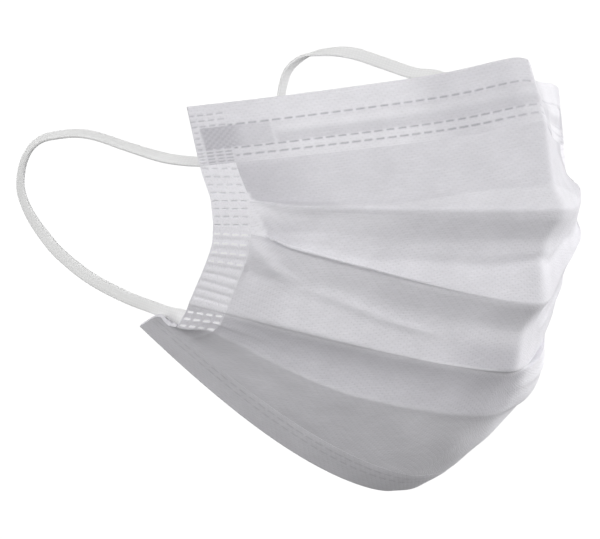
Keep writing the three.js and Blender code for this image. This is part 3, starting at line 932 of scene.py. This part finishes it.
def spunGroup(finish):  # fibres laid every way, clouds of more and less of them, and a lattice of bond points
    tree, takes, gives = newGroup("spunFibres", {"Place": "Vector", "PliesAndPaintedLight": "Float", "Weld": "Float"},
                                  {"Colour": "Color", "Roughness": "Float", "Height": "Float"})
    grain = (1.0 / finish["fibreLength"], 1.0 / finish["fibreWidth"])
    cloud = speckle(tree, takes["Place"], (1.0 / finish["cloudSize"],) * 2, 0.0, 3.0)
    fibres = 0.0
    for turn in finish["fibreTurns"]:
        fibres = calc(tree, "MAXIMUM", fibres, speckle(tree, takes["Place"], grain, turn, 2.0, 0.6))
    fibres = ramp(tree, fibres, 0.45, 0.8)
    split = tree.nodes.new("ShaderNodeSeparateXYZ")
    tree.links.new(takes["Place"], split.inputs["Vector"])
    step = 2.0 * math.pi / finish["bondPitch"]
    waves = [calc(tree, "COSINE", calc(tree, "MULTIPLY", split.outputs[axis], step)) for axis in "XY"]
    bonds = ramp(tree, calc(tree, "MULTIPLY", *waves), 0.35, 0.85)
    tone = calc(tree, "MULTIPLY_ADD", cloud, finish["cloudTone"], finish["baseTone"])
    tone = calc(tree, "MULTIPLY_ADD", fibres, finish["fibreTone"], tone)
    tone = calc(tree, "MULTIPLY_ADD", bonds, -finish["bondTone"], tone)
    # plies and painted light lighten the colour, welds and painted shade darken it
    plain = blend(tree, takes["PliesAndPaintedLight"], (*finish["panelColour"], 1.0), (*finish["plyAndPaintedLightColour"], 1.0))
    plain = blend(tree, takes["Weld"], plain, (*finish["weldColour"], 1.0))
    shade = tree.nodes.new("ShaderNodeVectorMath")
    shade.operation = "SCALE"
    tree.links.new(plain, shade.inputs[0])
    tree.links.new(tone, shade.inputs["Scale"])
    tree.links.new(shade.outputs["Vector"], gives["Colour"])
    pressed = calc(tree, "MAXIMUM", bonds, takes["Weld"])
    rough = calc(tree, "MULTIPLY_ADD", pressed, -finish["bondShine"], finish["rough"])
    tree.links.new(rough, gives["Roughness"])
    height = calc(tree, "SUBTRACT", calc(tree, "MULTIPLY_ADD", cloud, 0.8, fibres), bonds)
    tree.links.new(height, gives["Height"])
    return tree


def knitGroup(finish):  # lengthwise wales of small slanted stitches, with painted shade in the gaps between them
    tree, takes, gives = newGroup("knitStitches", {"Place": "Vector"}, {"Colour": "Color", "Height": "Float"})
    split = tree.nodes.new("ShaderNodeSeparateXYZ")
    tree.links.new(takes["Place"], split.inputs["Vector"])
    across = calc(tree, "PINGPONG", calc(tree, "DIVIDE", split.outputs["Y"], finish["wale"]), 0.5)
    slant = calc(tree, "ADD", calc(tree, "DIVIDE", split.outputs["X"], finish["stitch"]), across)
    yarn = calc(tree, "ABSOLUTE", calc(tree, "SINE", calc(tree, "MULTIPLY", slant, math.pi)))
    wale = calc(tree, "SINE", calc(tree, "MULTIPLY", across, math.pi))
    fuzz = speckle(tree, takes["Place"], (2.4, 6.0), 12.0, 2.0, 0.4)
    height = calc(tree, "ADD", calc(tree, "MULTIPLY", yarn, wale), calc(tree, "MULTIPLY", fuzz, 0.25))
    # painted shade in the gaps between the stitches
    tree.links.new(blend(tree, ramp(tree, height, 0.15, 0.85), (*finish["gapShadeColour"], 1.0),
                         (*finish["colour"], 1.0)), gives["Colour"])
    tree.links.new(height, gives["Height"])
    return tree


def scuffGroup(finish):  # drawn plastic with fine lengthwise scuffs
    tree, takes, gives = newGroup("coatScuffs", {"Place": "Vector"},
                                  {"Colour": "Color", "Roughness": "Float", "Height": "Float"})
    scuffs = ramp(tree, speckle(tree, takes["Place"], (0.2 / finish["scuffSize"], 6.0), 0.0, 4.0), 0.4, 0.75)
    tree.links.new(blend(tree, scuffs, (*finish["colour"], 1.0), (*finish["scuffColour"], 1.0)), gives["Colour"])
    rough = calc(tree, "MULTIPLY_ADD", scuffs, finish["scuffRough"], finish["rough"])
    tree.links.new(rough, gives["Roughness"])
    tree.links.new(scuffs, gives["Height"])
    return tree


def newMaterial(name, group, finish, scale):  # the group on the piece's own flat coordinates
    material = bpy.data.materials.new(name)
    material.use_nodes = True
    tree = material.node_tree
    shader = tree.nodes["Principled BSDF"]
    flat = tree.nodes.new("ShaderNodeTexCoord")
    mapping = tree.nodes.new("ShaderNodeMapping")
    mapping.inputs["Scale"].default_value = (*scale, 1.0)
    tree.links.new(flat.outputs["UV"], mapping.inputs["Vector"])
    pattern = tree.nodes.new("ShaderNodeGroup")
    pattern.node_tree = group
    tree.links.new(mapping.outputs["Vector"], pattern.inputs["Place"])
    tree.links.new(pattern.outputs["Colour"], shader.inputs["Base Color"])
    if "Roughness" in pattern.outputs:
        tree.links.new(pattern.outputs["Roughness"], shader.inputs["Roughness"])
    else:
        shader.inputs["Roughness"].default_value = finish["rough"]
    dents = tree.nodes.new("ShaderNodeBump")
    dents.inputs["Strength"].default_value = finish["bump"]
    dents.inputs["Distance"].default_value = 0.1 * mm
    tree.links.new(pattern.outputs["Height"], dents.inputs["Height"])
    tree.links.new(dents.outputs["Normal"], shader.inputs["Normal"])
    return material, pattern, shader


def clothMaterial(name, finish):
    material, pattern, shader = newMaterial(name, spunGroup(finish), finish, clothSpan)
    tree = material.node_tree
    # the weld mark carries welds and painted shade, the plies mark plies and painted light, the glow mark painted light
    marks = {
        "weld": pattern.inputs["Weld"],
        "pliesAndPaintedLight": pattern.inputs["PliesAndPaintedLight"],
        "glow": shader.inputs["Emission Color"],
    }
    for mark, socket in marks.items():
        node = tree.nodes.new("ShaderNodeAttribute")
        node.attribute_name = mark
        tree.links.new(node.outputs["Color" if mark == "glow" else "Fac"], socket)
    # painted glow of the bright dashes
    shader.inputs["Emission Strength"].default_value = finish["glow"]
    shader.inputs["Sheen Weight"].default_value = finish["sheen"]
    return material


def dress(material, *pieces):
    for piece in pieces:
        piece.data.materials.clear()
        piece.data.materials.append(material)


dress(clothMaterial("spunCloth", clothFinish), panel, leftBand, rightBand, topHem, bottomHem)
dress(newMaterial("knitElastic", knitGroup(elasticFinish), elasticFinish, strapSpan)[0], leftLoop, rightLoop)
dress(newMaterial("wireCoat", scuffGroup(wireFinish), wireFinish, clothSpan)[0], noseWire)
print("finishes set")

# white floor and sweep, soft lights
stageSettings = {
    "floorDrop": 0.32,
    "width": 40.0,
    "front": -14.0,
    "backStart": 11.0,
    "radius": 4.0,
    "height": 14.0,
    "tone": 0.22,
    "rough": 0.9,
    "glow": 1.05,
}


def makeSweep(settings):
    turn = math.radians(viewSettings["turn"])
    ahead = np.array([math.sin(turn), math.cos(turn), 0.0])
    aside = np.array([math.cos(turn), -math.sin(turn), 0.0])
    profile = [(settings["front"], 0.0), (settings["backStart"], 0.0)]
    for part in np.linspace(0.1, 1.0, 10) * math.pi / 2:
        profile.append((settings["backStart"] + settings["radius"] * math.sin(part),
                        settings["radius"] * (1 - math.cos(part))))
    profile.append((settings["backStart"] + settings["radius"], settings["height"]))
    vertices = []
    for far, height in profile:
        for side in (-0.5, 0.5):
            place = ahead * far + aside * side * settings["width"]
            vertices.append((place[0], place[1], height - settings["floorDrop"]))
    faces = [(2 * i, 2 * i + 1, 2 * i + 3, 2 * i + 2) for i in range(len(profile) - 1)]
    mesh = bpy.data.meshes.new("studioSweep")
    mesh.from_pydata(vertices, [], faces)
    sweep = bpy.data.objects.new("studioSweep", mesh)
    scene.collection.objects.link(sweep)
    material = bpy.data.materials.new("studioWhite")
    material.use_nodes = True
    nodes = material.node_tree.nodes
    links = material.node_tree.links
    shader = nodes["Principled BSDF"]
    shader.inputs["Base Color"].default_value = (*[settings["tone"]] * 3, 1.0)
    shader.inputs["Roughness"].default_value = settings["rough"]
    glow = nodes.new("ShaderNodeEmission")  # white to the eye, and darker to the lights
    glow.inputs["Strength"].default_value = settings["glow"]
    ray = nodes.new("ShaderNodeLightPath")
    mix = nodes.new("ShaderNodeMixShader")
    links.new(ray.outputs["Is Camera Ray"], mix.inputs["Fac"])
    links.new(shader.outputs["BSDF"], mix.inputs[1])
    links.new(glow.outputs["Emission"], mix.inputs[2])
    links.new(mix.outputs["Shader"], nodes["Material Output"].inputs["Surface"])
    mesh.materials.append(material)


makeSweep(stageSettings)

# name, direction from the middle of the mask, distance, size and power
maskMiddle = Vector((0.0, 0.03, -0.05))
lightSettings = [
    ("topLight", (-0.47, -0.43, 0.77), 1.4, 1.2, 2.1),
    ("sideLight", (-0.98, 0.04, 0.21), 1.4, 1.2, 11.8),
    ("frontLight", (-0.04, -0.98, 0.21), 1.4, 1.2, 8.0),
    ("fillLight", (0.66, -0.72, 0.21), 1.4, 1.2, 7.8),
    ("farLight", (0.98, -0.04, 0.21), 1.4, 1.2, 11.3),
    ("rearLight", (0.03, 0.64, 0.77), 1.4, 1.2, 9.0),
]


def addLights():
    for name, direction, distance, size, power in lightSettings:
        lamp = bpy.data.lights.new(name, "AREA")
        lamp.shape = "DISK"
        lamp.size = size
        lamp.energy = power
        holder = bpy.data.objects.new(name, lamp)
        towards = Vector(direction).normalized()
        holder.location = towards * distance + maskMiddle
        holder.rotation_euler = towards.to_track_quat("Z", "Y").to_euler()
        scene.collection.objects.link(holder)
    world = bpy.data.worlds.new("studioAir")
    world.use_nodes = True
    air = world.node_tree.nodes["Background"]
    air.inputs["Color"].default_value = (1.0, 1.0, 1.0, 1.0)
    ray = world.node_tree.nodes.new("ShaderNodeLightPath")  # white to the eye, and no light of its own
    world.node_tree.links.new(ray.outputs["Is Camera Ray"], air.inputs["Strength"])
    scene.world = world


addLights()
scene.view_settings.view_transform = "Standard"
print("studio set")
